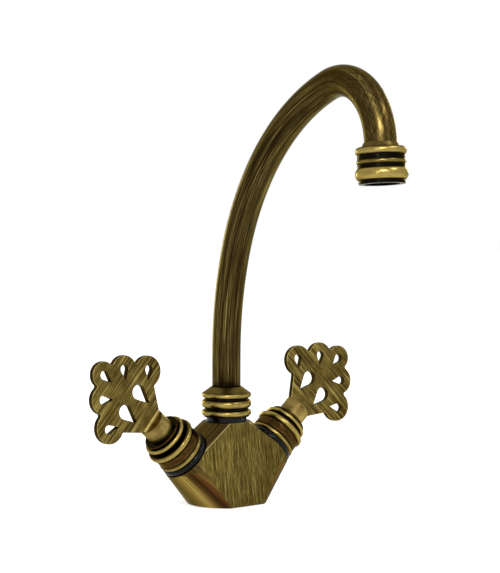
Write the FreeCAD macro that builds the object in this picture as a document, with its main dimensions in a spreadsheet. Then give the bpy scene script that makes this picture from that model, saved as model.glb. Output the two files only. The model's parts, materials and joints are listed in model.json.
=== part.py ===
"""Deck-mounted two-handle sink mixer with a swivelling swan-neck spout.

Sizes are in millimetres. The origin is the centre of the body's underside, on
the deck; +Z is up, the spout reaches towards -Y, the hot valve is on the -X
side and the cold valve on the +X side. Pieces of a valve are drawn about a
local Z axis that runs outwards along the valve, and are then tilted into
place. Pieces at the outlet are drawn about a local Z axis that runs along the
stream, away from the tube.
"""

import FreeCAD, Part
import math
import os
import Sketcher

from FreeCAD import Placement, Rotation, Vector

document = FreeCAD.newDocument("sink_mixer")
sheet = document.addObject("Spreadsheet::Sheet", "dims")

# --------------------------------------------------------------------------
# Driving dimensions: name, value, what it is
# --------------------------------------------------------------------------

DRIVING = (
    ("fit_gap", 0.05, "radial gap of a turned or screwed fit"),
    ("clear_gap", 0.3, "gap between pieces that move past each other"),
    # body casting
    ("base_radius", 28.0, "round foot of the body"),
    ("front_depth_low", 24.3, "flat front and back faces from the axis, at the deck"),
    ("front_depth_high", 15.2, "flat front and back faces from the axis, at the crown"),
    ("crown_height", 57.0, "crown of the body above the deck"),
    ("crown_radius", 17.0, "round crown under the neck"),
    ("valve_tilt", 41.5, "valve axes above the horizontal, degrees"),
    ("valve_cross", 4.0, "height at which the two valve axes cross"),
    ("seat_distance", 48.0, "from that crossing to the machined valve seat"),
    ("seat_radius", 18.7, "machined valve seat"),
    ("neck_wall", 3.3, "threaded neck beyond the radius of the spout tube"),
    ("neck_tall", 9.0, "threaded neck above the crown"),
    ("socket_radius", 9.6, "socket for the spout shank"),
    ("socket_deep", 28.0, "socket below the top of the neck"),
    ("valve_bore_deep", 18.0, "tapped bore below the seat"),
    ("way_radius", 3.5, "drilled way from inlet to valve"),
    ("outlet_way_radius", 2.75, "drilled way from valve to spout socket"),
    ("inlet_radius", 4.5, "tapped inlet for a flexible hose"),
    ("inlet_deep", 9.0, "tapped inlet"),
    ("inlet_offset", 9.5, "inlet from the centre, along X"),
    ("stud_hole_radius", 3.4, "tapped hole for the mounting stud"),
    ("stud_hole_deep", 14.0, "tapped hole for the mounting stud"),
    ("stud_offset", 12.5, "stud hole from the centre, towards the spout"),
    ("gasket_inner", 18.9, "inner radius of the deck gasket"),
    ("gasket_width", 3.6, "deck gasket"),
    ("gasket_thick", 1.5, "deck gasket"),
    # spout nut and what it clamps
    ("neck_ring_tall", 3.3, "dark ring between crown and nut"),
    ("neck_ring_wall", 0.8, "dark ring between crown and nut"),
    ("nut_wall", 2.6, "spout nut from the neck to the bottom of its grooves"),
    ("nut_bead_rise", 1.6, "beads of the spout nut beyond its grooves"),
    ("nut_foot", 0.6, "plain foot of the spout nut"),
    ("nut_small_bead", 4.3, "height of the lower bead"),
    ("nut_groove", 1.4, "height of each groove"),
    ("nut_large_bead", 5.7, "height of the middle bead"),
    ("nut_top_bead", 3.7, "height of the upper bead"),
    ("nut_cone_step", 0.3, "foot of the cone on top of the nut, beyond its grooves"),
    ("nut_cone_tall", 3.8, "cone on top of the nut"),
    ("nut_lip", 0.6, "edge of the cone's hole beyond the tube gap"),
    ("flange_step", 2.5, "flange of the spout shank beyond the tube"),
    ("flange_thick", 2.4, "flange of the spout shank"),
    ("clip_thick", 2.4, "retaining ring above the flange"),
    ("shank_long", 26.0, "shank below the flange"),
    ("shank_wall", 3.2, "wall of the shank"),
    ("shank_sleeve", 7.0, "sleeve of the shank inside the tube"),
    ("seal_section", 1.72, "section of the shank seals"),
    ("seal_low", 8.0, "lower seal above the end of the shank"),
    ("seal_pitch", 8.0, "from the lower seal to the upper one"),
    # spout tube, centre line
    ("tube_radius", 10.0, "outside of the tube"),
    ("tube_wall", 1.2, "wall of the tube"),
    ("bend_start", 103.5, "height at which the tube starts to bend"),
    ("bend_radius_low", 217.5, "first bend"),
    ("bend_angle_low", 19.7, "first bend, degrees"),
    ("bend_radius_middle", 170.5, "second bend"),
    ("bend_angle_middle", 53.9, "second bend, degrees"),
    ("bend_radius_end", 42.3, "bend over the outlet"),
    ("bend_angle_end", 102.4, "bend over the outlet, degrees"),
    ("tube_tail", 12.0, "straight end of the tube"),
    ("spout_turn", 6.5, "how far the spout stands swivelled, degrees"),
    # outlet, along the stream from the end of the last bend
    ("flare_from", 0.75, "start of the flare on the outlet collar"),
    ("flare_rise", 1.9, "large end of the flare beyond the tube"),
    ("flare_tall", 2.8, "flare"),
    ("outlet_bead_rise", 1.1, "bead of the outlet collar beyond the grooves"),
    ("outlet_bead", 4.8, "bead of the outlet collar"),
    ("thin_bead_rise", 0.5, "thin bead of the aerator housing beyond the grooves"),
    ("outlet_groove", 2.9, "groove above the thin bead"),
    ("thin_bead", 2.6, "thin bead"),
    ("lower_groove", 2.4, "groove below the thin bead"),
    ("large_bead_rise", 1.6, "large bead of the aerator housing beyond the grooves"),
    ("large_bead", 7.2, "large bead"),
    ("lip_neck", 0.9, "neck above the lip"),
    ("lip_neck_step", 0.9, "neck above the lip, in from the grooves"),
    ("lip_rise", 0.6, "lip of the housing beyond its neck"),
    ("lip_tall", 1.5, "lip of the housing"),
    ("collar_wall", 2.0, "collar from the tube to the outlet thread"),
    ("housing_wall", 2.6, "housing from the outlet thread to its grooves"),
    ("outlet_thread_long", 6.5, "thread between collar and housing"),
    ("mouth_step", 1.1, "shoulder of the mouth, in from the outlet thread"),
    ("insert_tall", 5.0, "aerator insert"),
    ("insert_hole", 0.8, "radius of a hole in the insert"),
    ("insert_pitch", 3.1, "pitch between rings of holes"),
    ("screen_thick", 0.5, "perforated disc on the insert"),
    ("outlet_seal_thick", 1.5, "flat seal above the aerator"),
    # valve, outwards from the seat
    ("base_ring_tall", 4.2, "dark ring on the seat"),
    ("base_ring_radius", 18.2, "dark ring on the seat"),
    ("hexagon_gap", 0.6, "dark ring from the corners of the hexagon"),
    ("base_ring_round", 1.7, "rounding of the dark ring"),
    ("bonnet_groove_radius", 16.3, "grooves of the bonnet"),
    ("bonnet_low_bead_radius", 17.8, "bead next to the dark ring"),
    ("bonnet_low_bead", 3.6, "bead next to the dark ring"),
    ("bonnet_groove", 0.6, "narrow grooves of the bonnet"),
    ("bonnet_band_radius", 17.0, "plain band of the bonnet"),
    ("bonnet_band", 5.6, "plain band of the bonnet"),
    ("bonnet_top_bead_radius", 18.1, "bead at the bonnet's rim"),
    ("bonnet_top_bead", 4.6, "bead at the bonnet's rim"),
    ("bonnet_step", 1.0, "inside of the bonnet beyond that of the dark ring"),
    ("bonnet_mouth", 12.6, "mouth of the bonnet"),
    ("bonnet_rim", 1.5, "inner rim of the bonnet's mouth"),
    ("bonnet_web_low", 5.0, "underside of the web above the bonnet's foot"),
    ("bonnet_web", 3.2, "web that screws on the headwork"),
    ("skirt_neck", 2.2, "dark neck of the skirt"),
    ("skirt_neck_radius", 14.2, "dark neck of the skirt"),
    ("skirt_low_bead", 2.9, "larger bead of the skirt"),
    ("skirt_low_bead_radius", 15.9, "larger bead of the skirt"),
    ("skirt_groove", 0.6, "groove of the skirt"),
    ("skirt_groove_radius", 12.9, "groove of the skirt"),
    ("skirt_top_bead", 2.3, "smaller bead of the skirt"),
    ("skirt_top_bead_radius", 13.8, "smaller bead of the skirt"),
    # headwork
    ("washer_thick", 1.0, "fibre washer under the hexagon"),
    ("hexagon_tall", 4.6, "hexagon of the headwork"),
    ("hexagon_step", 2.2, "corners of the hexagon beyond the tapped bore"),
    ("thread_long", 11.0, "thread of the headwork"),
    ("thread_step", 1.5, "thread of the headwork beyond the cage"),
    ("cage_wall", 1.2, "cage around the discs"),
    ("disc_gap", 0.1, "gap between the discs and the cage"),
    ("cage_window", 3.0, "height of the side windows of the cage"),
    ("headwork_neck", 8.0, "radius of the threaded neck"),
    ("headwork_neck_tall", 9.0, "neck above the hexagon"),
    ("seat_seal_inner", 5.9, "bore of the rubber seal below the discs"),
    ("seat_seal_thick", 2.0, "rubber seal below the discs"),
    ("disc_radius", 7.6, "ceramic discs"),
    ("fixed_disc_thick", 3.0, "fixed disc"),
    ("moving_disc_thick", 2.6, "moving disc"),
    ("disc_port", 1.9, "radius of a port in a disc"),
    ("disc_port_offset", 3.9, "port from the axis"),
    ("spindle_radius", 4.5, "spindle"),
    ("spindle_foot", 2.2, "driving foot of the spindle"),
    ("tang_thick", 3.0, "tang under the driving foot"),
    ("tang_wide", 12.0, "tang under the driving foot"),
    ("tang_deep", 1.2, "tang under the driving foot"),
    ("square_side", 7.0, "square of the spindle"),
    ("square_reach", 18.5, "square beyond the end of the headwork"),
    ("inner_ring_at", 46.0, "lower spindle seal, along the valve axis"),
    ("outer_ring_at", 50.0, "upper spindle seal, along the valve axis"),
    ("ring_section", 1.1, "section of the spindle seals"),
    ("circlip_thick", 0.8, "circlip"),
    ("circlip_radius", 6.2, "circlip"),
    ("circlip_groove", 0.6, "depth of the circlip groove"),
    # handle
    ("hot_handle_turn", 2.0, "how far the hot handle stands turned, degrees"),
    ("cold_handle_turn", -7.5, "how far the cold handle stands turned, degrees"),
    ("stem_radius", 9.75, "stem of the handle"),
    ("stem_from", 64.5, "inner end of the stem"),
    ("stem_to", 86.5, "end face of the stem, where the plate starts"),
    ("plate_thick", 4.2, "plate of the handle"),
    ("plate_fillet", 3.0, "fillet between stem and plate"),
    ("plate_edge", 0.8, "rounding of the plate's outer edges"),
    ("notch_fillet", 1.3, "rounding in the notches between the lobes"),
    ("middle_lobe_at", 138.3, "middle lobe, along the valve axis"),
    ("middle_lobe_radius", 9.0, "middle lobe"),
    ("next_lobe_at", 127.2, "second lobes, along the valve axis"),
    ("next_lobe_out", 12.4, "second lobes, from the valve axis"),
    ("next_lobe_radius", 10.2, "second lobes"),
    ("outer_lobe_at", 111.4, "outer lobes, along the valve axis"),
    ("outer_lobe_out", 23.7, "outer lobes, from the valve axis"),
    ("outer_lobe_radius", 10.9, "outer lobes"),
    ("near_notch_out", 23.3, "notch between outer and second lobe, from the axis"),
    ("near_notch_at", 122.2, "notch between outer and second lobe, along the axis"),
    ("plate_neck", 9.3, "half width of the plate at the stem"),
    ("plate_neck_to", 101.9, "where the widening neck meets the outer lobes"),
    ("plate_neck_out", 20.5, "half width there"),
    ("middle_drop_at", 138.0, "teardrop of the middle lobe, along the valve axis"),
    ("next_drop_at", 127.8, "teardrops of the second lobes, along the valve axis"),
    ("next_drop_out", 13.0, "teardrops of the second lobes, from the valve axis"),
    ("outer_drop_at", 111.8, "teardrops of the outer lobes, along the valve axis"),
    ("outer_drop_out", 25.4, "teardrops of the outer lobes, from the valve axis"),
    ("drop_round", 3.1, "round end of a small teardrop hole"),
    ("drop_long", 7.8, "from the round end's centre to the tip"),
    ("next_drop_turn", 40.0, "teardrops of the second lobes off the valve axis, degrees"),
    ("outer_drop_turn", 51.0, "teardrops of the outer lobes off the valve axis, degrees"),
    ("large_drop_round", 5.0, "round end of a large teardrop hole"),
    ("large_drop_at", 108.7, "centre of that round end, along the valve axis"),
    ("large_drop_out", 8.4, "centre of that round end, from the valve axis"),
    ("large_drop_tip", 96.5, "tip, along the valve axis"),
    ("large_drop_tip_out", 8.2, "tip, from the valve axis"),
    ("grub_radius", 2.0, "grub screw that holds the handle"),
    ("grub_at", 79.0, "grub screw, along the valve axis"),
    ("grub_socket", 1.0, "radius of its hexagon socket"),
)

# Sizes that follow from the driving ones: name, sum, what it is. What fits round
# the tube grows with the tube, and what fits round the discs with the discs.

FOLLOWING = (
    ("neck_radius", "tube_radius + neck_wall", "threaded neck that takes the spout nut"),
    ("nut_groove_radius", "neck_radius + nut_wall", "bottom of the nut's grooves"),
    ("nut_bead_radius", "nut_groove_radius + nut_bead_rise", "beads of the nut"),
    ("nut_cone_radius", "nut_groove_radius + nut_cone_step", "foot of the nut's cone"),
    ("flange_radius", "tube_radius + flange_step", "flange of the spout shank"),
    ("flare_radius", "tube_radius + flare_rise", "large end of the flare"),
    ("outlet_thread_radius", "tube_radius + collar_wall", "thread of the housing"),
    ("outlet_groove_radius", "outlet_thread_radius + housing_wall", "outlet grooves"),
    ("outlet_bead_radius", "outlet_groove_radius + outlet_bead_rise", "collar bead"),
    ("thin_bead_radius", "outlet_groove_radius + thin_bead_rise", "thin bead"),
    ("large_bead_radius", "outlet_groove_radius + large_bead_rise", "large bead"),
    ("lip_neck_radius", "outlet_groove_radius - lip_neck_step", "neck above the lip"),
    ("lip_radius", "lip_neck_radius + lip_rise", "lip of the housing"),
    ("mouth_radius", "outlet_thread_radius - mouth_step", "mouth of the housing"),
    ("cage_bore", "disc_radius + disc_gap", "bore of the cage"),
    ("cage_radius", "cage_bore + cage_wall", "cage around the discs"),
    ("valve_bore_radius", "cage_radius + thread_step", "tapped bore for a headwork"),
    ("hexagon_radius", "valve_bore_radius + hexagon_step", "corners of the hexagon"),
    ("base_ring_inner", "hexagon_radius + hexagon_gap", "inside of the dark ring"),
    ("bonnet_inner", "base_ring_inner + bonnet_step", "inside of the bonnet"),
)

ROWS = [(name, str(value), note) for name, value, note in DRIVING]
ROWS += [(name, "=" + total, note) for name, total, note in FOLLOWING]
for row, (name, content, note) in enumerate(ROWS, start=1):
    sheet.set("A%d" % row, name)
    sheet.set("B%d" % row, content)
    sheet.setAlias("B%d" % row, name)
    sheet.set("C%d" % row, note)
document.recompute()


def size(text):
    """Value of a sum of named sizes, such as "cage_bore - fit_gap"."""
    total = 0.0
    sign = 1.0
    for word in text.split():
        if word in ("+", "-"):
            sign = 1.0 if word == "+" else -1.0
            continue
        term, _, divisor = word.partition("/")
        value = float(term) if term[0].isdigit() else float(getattr(sheet, term))
        total += sign * value / float(divisor or 1)
    return total


def formula(text):
    """The same sum as an expression that reads the spreadsheet."""
    words = []
    for word in text.split():
        if word in ("+", "-") or word[0].isdigit():
            words.append(word)
        else:
            words.append("dims." + word)
    return " ".join(words)


def bind(thing, **sizes):
    """Bind properties of an object to sums of named sizes."""
    for name, text in sizes.items():
        thing.setExpression(name, formula(text))
    return thing


# --------------------------------------------------------------------------
# Small helpers that draw, turn, pad, drill and place
# --------------------------------------------------------------------------

NODES = []


def node(thing, label, placement=None):
    """Mark a finished piece and put it where it belongs."""
    thing.Label = label
    if placement is not None:
        thing.Placement = placement
    NODES.append(thing)
    return thing


def origin_plane(body, role):
    for feature in body.Origin.OriginFeatures:
        if feature.Role == role:
            return feature
    raise ValueError("no plane " + role)


def new_sketch(body, name, role, offset=None):
    sketch = body.newObject("Sketcher::SketchObject", name)
    sketch.AttachmentSupport = (origin_plane(body, role), [""])
    sketch.MapMode = "FlatFace"
    if offset is not None:
        sketch.AttachmentOffset = offset
    return sketch


def pin_point(sketch, edge, end, across, up):
    """Fix one end of an edge at two named distances from the sketch's origin."""
    for text, kind, axis in ((across, "DistanceX", -2), (up, "DistanceY", -1)):
        if size(text) == 0.0:
            sketch.addConstraint(Sketcher.Constraint("PointOnObject", edge, end, axis))
            continue
        rule = Sketcher.Constraint(kind, -1, 1, edge, end, size(text))
        index = sketch.addConstraint(rule)
        sketch.setExpression("Constraints[%d]" % index, formula(text))


def draw_outline(sketch, corners):
    """Draw a closed outline. A corner is (across, up); a third entry makes the
    edge that arrives there an arc of that radius, which bulges to the right of
    the way the outline runs, or to the left where a fourth entry says so."""
    points = [Vector(size(corner[0]), size(corner[1]), 0) for corner in corners]
    starts = []
    for number, corner in enumerate(corners):
        start = points[number - 1]
        stop = points[number]
        if len(corner) == 2:
            edge = sketch.addGeometry(Part.LineSegment(start, stop), False)
            starts.append((edge, 1, 2))
            continue
        radius = size(corner[2])
        along = stop - start
        right = Vector(along.y, -along.x, 0).normalize()
        inwards = math.sqrt(max(radius ** 2 - (along.Length / 2) ** 2, 0.0))
        outwards = 1.0 if len(corner) == 3 else -1.0
        centre = (start + stop) / 2 - right * inwards * outwards
        circle = Part.Circle(centre, Vector(0, 0, 1), radius)
        first, last = (start, stop) if outwards > 0 else (stop, start)
        angles = [math.atan2(point.y - centre.y, point.x - centre.x) for point in (first, last)]
        edge = sketch.addGeometry(Part.ArcOfCircle(circle, *angles), False)
        index = sketch.addConstraint(Sketcher.Constraint("Radius", edge, radius))
        sketch.setExpression("Constraints[%d]" % index, formula(corner[2]))
        starts.append((edge, 1, 2) if outwards > 0 else (edge, 2, 1))
    for number, corner in enumerate(corners):
        edge, _, tail = starts[number]
        following, head, _ = starts[(number + 1) % len(corners)]
        join = Sketcher.Constraint("Coincident", edge, tail, following, head)
        sketch.addConstraint(join)
        pin_point(sketch, edge, tail, corner[0], corner[1])


def turned(name, corners):
    """A body turned about its Z axis; corners are (radius, height)."""
    body = document.addObject("PartDesign::Body", name)
    sketch = new_sketch(body, name + "_profile", "XZ_Plane")
    draw_outline(sketch, corners)
    turn = body.newObject("PartDesign::Revolution", name + "_turn")
    turn.Profile = sketch
    turn.ReferenceAxis = (sketch, ["V_Axis"])
    turn.Angle = 360
    return body


def ring(name, inner, outer, low, high):
    return turned(name, [(inner, low), (outer, low), (outer, high), (inner, high)])


def rod(name, radius, long, base=None, along=None):
    """A round tool or pin; base is its start and along its direction."""
    cylinder = document.addObject("Part::Cylinder", name)
    bind(cylinder, Radius=radius, Height=long)
    turn = Rotation(Vector(0, 0, 1), along) if along is not None else Rotation()
    cylinder.Placement = Placement(base or Vector(), turn)
    return cylinder


def block(name, wide, deep, tall, base):
    """A box centred on X and Y at the height of base."""
    box = document.addObject("Part::Box", name)
    bind(box, Length=wide, Width=deep, Height=tall)
    box.Placement = Placement(base - Vector(size(wide) / 2, size(deep) / 2, 0), Rotation())
    return box


def cut(name, base, tools):
    """Take the tools away from the base."""
    tool = tools[0] if len(tools) == 1 else joined(name + "_tools", tools)
    result = document.addObject("Part::Cut", name)
    result.Base = base
    result.Tool = tool
    return result


def joined(name, shapes):
    result = document.addObject("Part::MultiFuse", name)
    result.Shapes = shapes
    result.Refine = True
    return result


def bead(groove, crest, tall):
    """Radius of the arc that bulges from the groove to the crest of a bead."""
    rise = size(crest) - size(groove)
    half = size(tall) / 2
    return "%.4f" % ((rise ** 2 + half ** 2) / (2 * rise))


def plain(value):
    """A worked-out number in the form that size() and formula() read."""
    return "%s%.5f" % ("- " if value < 0 else "", abs(value))


def padded(name, role, corners, thick):
    """A closed outline padded to both sides of its plane."""
    body = document.addObject("PartDesign::Body", name)
    sketch = new_sketch(body, name + "_outline", role)
    draw_outline(sketch, corners)
    pad = body.newObject("PartDesign::Pad", name + "_pad")
    pad.Profile = sketch
    pad.SideType = "Symmetric"
    bind(pad, Length=thick)
    return body


def rounded(name, base, radius, wanted):
    """Fillet the edges of base that wanted(shape, edge) picks."""
    document.recompute()
    fillet = document.addObject("Part::Fillet", name)
    fillet.Base = base
    picked = [number for number, edge in enumerate(base.Shape.Edges, start=1)
              if wanted(base.Shape, edge)]
    fillet.Edges = [(number, size(radius), size(radius)) for number in picked]
    return fillet


# --------------------------------------------------------------------------
# Frames of the valves, the spout and the outlet
# --------------------------------------------------------------------------

HOT = -1
COLD = 1
SIDES = ((HOT, "hot"), (COLD, "cold"))
UP = Vector(0, 0, 1)
tilt = math.radians(size("valve_tilt"))
neck_top = "crown_height + neck_tall"
seat = "seat_distance"


def valve_point(side, distance):
    """A point on a valve axis, at a distance from where the axes cross."""
    return Vector(side * distance * math.cos(tilt), 0, size("valve_cross") + distance * math.sin(tilt))


def valve_place(side):
    turn = Rotation(Vector(0, 1, 0), side * (90.0 - size("valve_tilt")))
    return Placement(valve_point(side, 0.0), turn)


spout_place = Placement(Vector(), Rotation(UP, - size("spout_turn")))


def bend_ends():
    """Ends of the straight rise and of the three bends, in the spout's plane,
    as (reach, height, heading from the vertical in radians)."""
    reach, height, heading = 0.0, size("bend_start"), 0.0
    ends = [(reach, height, heading)]
    for part_name in ("low", "middle", "end"):
        radius = size("bend_radius_" + part_name)
        after = heading + math.radians(size("bend_angle_" + part_name))
        reach += radius * (math.cos(heading) - math.cos(after))
        height += radius * (math.sin(after) - math.sin(heading))
        heading = after
        ends.append((reach, height, heading))
    return ends


last_reach, last_height, last_heading = bend_ends()[-1]
outlet_turn = Rotation(Vector(1, 0, 0), math.degrees(last_heading))
outlet_place = spout_place * Placement(Vector(0, - last_reach, last_height), outlet_turn)

# --------------------------------------------------------------------------
# Body casting
# --------------------------------------------------------------------------

BEYOND = "200"      # construction lines end this far outside the body
SPLAY = "60"        # and this far outside its front and back


def seat_frame(side):
    """Plane of a valve seat: its X runs up the seat and its Y along +Y."""
    return Placement(valve_point(side, size(seat)), valve_place(side).Rotation)


def half_round(radius):
    """A half circle whose ends run on to far corners on the other side."""
    return [
        ("0", radius),
        ("- " + radius, "0", radius),
        ("0", "- " + radius, radius),
        (BEYOND, "- " + radius),
        (BEYOND, radius),
    ]


def skin(name, low_outline, low_offset, seat_outline):
    """A ruled solid between a level outline and one in the hot valve's seat."""
    body = document.addObject("PartDesign::Body", name)
    low = new_sketch(body, name + "_level", "XY_Plane", low_offset)
    draw_outline(low, low_outline)
    top = new_sketch(body, name + "_seat", "XY_Plane", seat_frame(HOT))
    draw_outline(top, seat_outline)
    loft = body.newObject("PartDesign::AdditiveLoft", name + "_loft")
    loft.Profile = low
    loft.Sections = [top]
    loft.Ruled = True
    return body


def mirrored(name, source):
    twin = document.addObject("Part::Mirroring", name)
    twin.Source = source
    twin.Normal = Vector(1, 0, 0)
    return twin


def half_round_edges(frame, radius, hand):
    """The outline of half_round() in a frame: two quarter arcs and three
    lines. The half circle's nose points along the frame's X times hand."""
    splay = size(radius) + size(SPLAY)
    corners = [frame.multVec(Vector(along, out, 0)) for along, out in (
        (0, size(radius)), (hand * size(radius), 0), (0, - size(radius)),
        (- hand * size(BEYOND), - splay), (- hand * size(BEYOND), splay))]
    edges = []
    for number, sign in ((0, 1), (1, -1)):
        middle = size(radius) / math.sqrt(2)
        passing = frame.multVec(Vector(hand * middle, sign * middle, 0))
        edges.append(Part.Arc(corners[number], passing, corners[number + 1]).toShape())
    for number in (2, 3, 4):
        edges.append(Part.LineSegment(corners[number], corners[(number + 1) % 5]).toShape())
    return edges


def wedge(name, low_edges, top_edges):
    """A ruled solid between two outlines whose planes stand more than a right
    angle apart, which a loft cannot follow."""
    faces = [Part.makeRuledSurface(low, top) for low, top in zip(low_edges, top_edges)]
    faces += [Part.Face(Part.Wire(edges)) for edges in (low_edges, top_edges)]
    shell = Part.makeShell(faces)
    shell.sewShape()
    solid = Part.makeSolid(shell)
    if solid.Volume < 0:
        solid.reverse()
    feature = document.addObject("Part::Feature", name)
    feature.Shape = solid
    return feature


crown_level = Placement(Vector(0, 0, size("crown_height")), Rotation())
flank = skin("hot_flank", half_round("base_radius"), Placement(), half_round("seat_radius"))
shoulder = wedge("hot_shoulder", half_round_edges(crown_level, "crown_radius", -1),
                 half_round_edges(seat_frame(HOT), "seat_radius", 1))
# the slab's slope runs on past the crown, so that a low crown cuts no seat
slab_top = "crown_height + crown_height/2"
slab_half = "front_depth_high + front_depth_high/2 - front_depth_low/2"
slab_half_back = "front_depth_low/2 - front_depth_high - front_depth_high/2"
slab = padded("front_and_back", "YZ_Plane", [
    ("front_depth_low", "0"), (slab_half, slab_top),
    (slab_half_back, slab_top), ("- front_depth_low", "0")], BEYOND)
outside = document.addObject("Part::MultiCommon", "body_outside")
outside.Shapes = [flank, shoulder, mirrored("cold_flank", flank),
                  mirrored("cold_shoulder", shoulder), slab]
neck = rod("neck", "neck_radius", neck_top)
casting = joined("casting", [outside, neck])

waterways = [
    rod("spout_socket", "socket_radius", "socket_deep + 1",
        Vector(0, 0, size(neck_top + " - socket_deep"))),
    rod("stud_hole", "stud_hole_radius", "stud_hole_deep + 1",
        Vector(0, - size("stud_offset"), -1)),
    ring("gasket_groove", "gasket_inner - 0.1", "gasket_inner + gasket_width + 0.1",
         "- 1", "gasket_thick"),
]
for side, name in SIDES:
    seat_point = valve_point(side, size(seat))
    outwards = (valve_point(side, 1.0) - valve_point(side, 0.0)).normalize()
    bore_end = seat_point - outwards * size("valve_bore_deep")
    waterways.append(rod(name + "_bore", "valve_bore_radius", "valve_bore_deep + 5",
                         bore_end, along=outwards))
    inlet_x = size("inlet_offset")
    way_end = valve_point(side, inlet_x / math.cos(tilt))
    long = plain((bore_end - way_end).Length + 1.0)
    waterways.append(rod(name + "_way", "way_radius", long, way_end, along=outwards))
    waterways.append(rod(name + "_inlet", "inlet_radius", "inlet_deep + 1",
                         Vector(side * inlet_x, 0, -1)))
    waterways.append(rod(name + "_riser", "way_radius", plain(way_end.z + 1.0),
                         Vector(side * inlet_x, 0, 0)))
    mix_from = Vector(0, 0, size(neck_top + " - socket_deep + 1"))
    mix_to = bore_end + outwards * 3.0
    waterways.append(rod(name + "_outlet_way", "outlet_way_radius",
                         plain((mix_to - mix_from).Length), mix_from, along=mix_to - mix_from))

node(cut("body", casting, waterways), "body")
node(ring("deck_gasket", "gasket_inner", "gasket_inner + gasket_width", "0", "gasket_thick"),
     "deck_gasket")

# --------------------------------------------------------------------------
# Spout nut and the swivel joint of the spout
# --------------------------------------------------------------------------

ring_top = "crown_height + neck_ring_tall"
node(turned("neck_ring_turned", [
    ("neck_radius + fit_gap", "crown_height"),
    ("neck_radius + neck_ring_wall", "crown_height"),
    ("neck_radius + neck_ring_wall", ring_top),
    ("neck_radius + fit_gap", ring_top)]), "neck_ring")

flange_low = neck_top + " + clear_gap"
flange_top = flange_low + " + flange_thick"
clip_low = flange_top + " + clear_gap"
clip_top = clip_low + " + clip_thick"
tube_hole = "tube_radius + clear_gap"


def beaded(start, rows):
    """Corners up the outside of a beaded shell, from a height upwards. A row
    is (height, foot radius, crest radius), and a plain band has no crest."""
    corners = []
    height = start
    for tall, foot, crest in rows:
        if not corners or corners[-1][:2] != (foot, height):
            corners.append((foot, height))
        height = height + " + " + tall
        arc = () if crest is None else (bead(foot, crest, tall),)
        corners.append((foot, height) + arc)
    return corners, height


nut_outside, cone_foot = beaded(ring_top + " + nut_foot", [
    ("nut_small_bead", "nut_groove_radius", "nut_bead_radius"),
    ("nut_groove", "nut_groove_radius - 0.6", None),
    ("nut_large_bead", "nut_groove_radius", "nut_bead_radius"),
    ("nut_groove", "nut_groove_radius - 0.6", None),
    ("nut_top_bead", "nut_groove_radius", "nut_bead_radius"),
])
nut_top = cone_foot + " + nut_cone_tall"
node(turned("spout_nut_turned", [
    ("neck_radius + fit_gap", ring_top),
    ("nut_groove_radius", ring_top),
] + nut_outside + [
    ("nut_cone_radius", cone_foot),
    (tube_hole + " + nut_lip", nut_top),
    (tube_hole, nut_top),
    (tube_hole, clip_top),
    ("neck_radius + fit_gap", clip_top)]), "spout_nut")

clip_ring = ring("clip_ring", tube_hole + " + 0.2", "neck_radius - 0.1", clip_low, clip_top)
clip_split = block("clip_split", "2.5", "crown_radius", "clip_thick + 2",
                   Vector(0, size("crown_radius") / 2, size(clip_low) - 1))
node(cut("spout_retaining_ring_split", clip_ring, [clip_split]), "spout_retaining_ring")

shank_radius = "socket_radius - fit_gap"
shank_low = flange_low + " - shank_long"
sleeve_radius = "tube_radius - tube_wall - fit_gap"
groove_floor = shank_radius + " - seal_section"


def seal_level(number):
    return shank_low + " + seal_low" + " + seal_pitch" * number


def seal_groove(level, floor, outside_radius, section, spare):
    """Corners of a square groove, run upwards along the outside."""
    low = level + " - " + section + "/2 - " + spare
    high = level + " + " + section + "/2 + " + spare
    return [(outside_radius, low), (floor, low), (floor, high), (outside_radius, high)]


shank_in = shank_radius + " - shank_wall"
shank_outline = [(shank_in, shank_low), (shank_radius, shank_low)]
for number in (0, 1):
    shank_outline += seal_groove(seal_level(number), groove_floor, shank_radius,
                                 "seal_section", "0.15")
shank_outline += [
    (shank_radius, flange_low),
    ("flange_radius", flange_low),
    ("flange_radius", flange_top),
    (sleeve_radius, flange_top),
    (sleeve_radius, flange_top + " + shank_sleeve"),
    (shank_in, flange_top + " + shank_sleeve")]
node(turned("spout_shank_turned", shank_outline), "spout_shank", spout_place)


def seal_ring(name, floor, section, level, frame):
    """An O-ring on the floor of its groove, at a level of the given frame."""
    torus = document.addObject("Part::Torus", name)
    bind(torus, Radius1=floor + " + " + section + "/2", Radius2=section + "/2 - 0.005")
    node(torus, name, frame * Placement(Vector(0, 0, size(level)), Rotation()))


for number, name in enumerate(("spout_lower_seal", "spout_upper_seal")):
    seal_ring(name, groove_floor, "seal_section", seal_level(number), spout_place)

# --------------------------------------------------------------------------
# Spout tube
# --------------------------------------------------------------------------

tube = document.addObject("PartDesign::Body", "tube")
tube_foot = Placement(Vector(0, 0, size(flange_top)), Rotation())
section = new_sketch(tube, "tube_section", "XY_Plane", tube_foot)
for radius in ("tube_radius", "tube_radius - tube_wall"):
    circle = section.addGeometry(Part.Circle(Vector(), UP, size(radius)), False)
    section.addConstraint(Sketcher.Constraint("Coincident", circle, 3, -1, 1))
    rule = section.addConstraint(Sketcher.Constraint("Radius", circle, size(radius)))
    section.setExpression("Constraints[%d]" % rule, formula(radius))

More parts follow.
